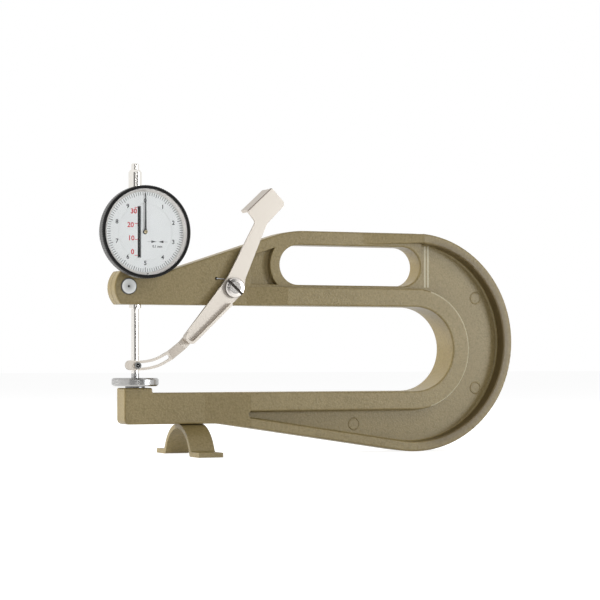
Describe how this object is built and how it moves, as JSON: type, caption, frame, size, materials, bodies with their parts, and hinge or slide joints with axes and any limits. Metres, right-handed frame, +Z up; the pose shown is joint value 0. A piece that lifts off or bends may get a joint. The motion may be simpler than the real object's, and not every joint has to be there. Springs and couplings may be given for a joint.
{
  "type": "dial thickness gauge",
  "caption": "Bench thickness gauge: deep bow frame with handle, dial indicator, flat disc contact over a fixed anvil and a thumb lever that lifts the spindle.",
  "frame": {"origin": "on the table, in the middle of the whole instrument's length and width", "axes": "+X from the measuring spindle to the bow, along the longest side; +Y away from the dial's face; +Z up"},
  "size_m": [0.2942, 0.08, 0.1862],
  "materials": {
    "casting_paint": "fine hammered satin enamel on a die casting",
    "nickel_sheet": "satin nickel plate on stamped steel",
    "plated_steel": "bright nickel plate",
    "hardened_steel": "ground and polished",
    "satin_steel": "satin turned",
    "case_metal": "satin turned",
    "bezel_black": "black, knurled edge",
    "clear_crystal": "clear and polished",
    "dial_white": "matt white with printed scale",
    "pointer_black": "matt black",
    "marker_red": "red lacquer",
    "movement_brass": "fine brushed",
    "spring_steel": "drawn wire"
  },
  "bodies": {
    "root": {"frame": "casting_paint", "foot": "casting_paint", "foot_screw": "plated_steel", "anvil": "hardened_steel", "stem": "hardened_steel", "top_sleeve": "satin_steel", "gauge_case": "case_metal", "case_back_cover": "case_metal", "back_cover_screws": "plated_steel", "inner_dial": "dial_white", "movement_back_plate": "movement_brass", "movement_front_plate": "movement_brass", "movement_pillars": "movement_brass", "movement_standoffs": "movement_brass", "movement_screws": "plated_steel", "guide_rail": "movement_brass", "spring_post": "plated_steel", "return_spring": "spring_steel", "lever_spring": "spring_steel", "pivot_spacer": "plated_steel", "lever_pivot_screw": "plated_steel", "stem_clamp_screw": "plated_steel"},
    "spindle": {"spindle": "hardened_steel", "contact_disc": "hardened_steel", "lift_pin": "plated_steel", "slide_carrier": "movement_brass", "travel_marker": "marker_red"},
    "lever": {"lever": "nickel_sheet", "lifting_strip": "nickel_sheet"},
    "pinion": {"rack_pinion": "hardened_steel", "drive_gear": "movement_brass"},
    "pointer": {"centre_arbor": "hardened_steel", "centre_gear": "movement_brass", "pointer": "pointer_black", "pointer_hub": "plated_steel"},
    "bezel": {"bezel": "bezel_black", "crystal": "clear_crystal", "crystal_ring": "case_metal", "outer_scale": "dial_white", "bezel_wire": "spring_steel"}
  },
  "joints": [
    {"name": "spindle_slide", "type": "slide", "parent": "root", "child": "spindle", "axis": [0, 0, 1], "range_m": [0, 0.03], "stiffness_N_per_m": 25, "springref_m": -0.03, "deforming": ["return_spring"]},
    {"name": "lever_pivot", "type": "hinge", "parent": "root", "child": "lever", "pos_m": [-0.05565, -0.012, 0.1075], "axis": [0, 1, 0], "range_deg": [0, 27.6]},
    {"name": "pinion_spin", "type": "hinge", "parent": "root", "child": "pinion", "pos_m": [-0.12164, 0, 0.15308], "axis": [0, 1, 0], "range_deg": [-1081, 1]},
    {"name": "pointer_spin", "type": "hinge", "parent": "root", "child": "pointer", "pos_m": [-0.11815, 0, 0.1416], "axis": [0, 1, 0], "range_deg": [-1, 1081]},
    {"name": "bezel_turn", "type": "hinge", "parent": "root", "child": "bezel", "pos_m": [-0.11815, -0.02, 0.1416], "axis": [0, 1, 0], "continuous": true}
  ],
  "couplings": [
    {"joint": "lever_pivot", "follows": "spindle_slide", "rad_per_m": 16},
    {"joint": "pinion_spin", "follows": "spindle_slide", "rad_per_m": -628.32},
    {"joint": "pointer_spin", "follows": "spindle_slide", "rad_per_m": 628.32}
  ]
}
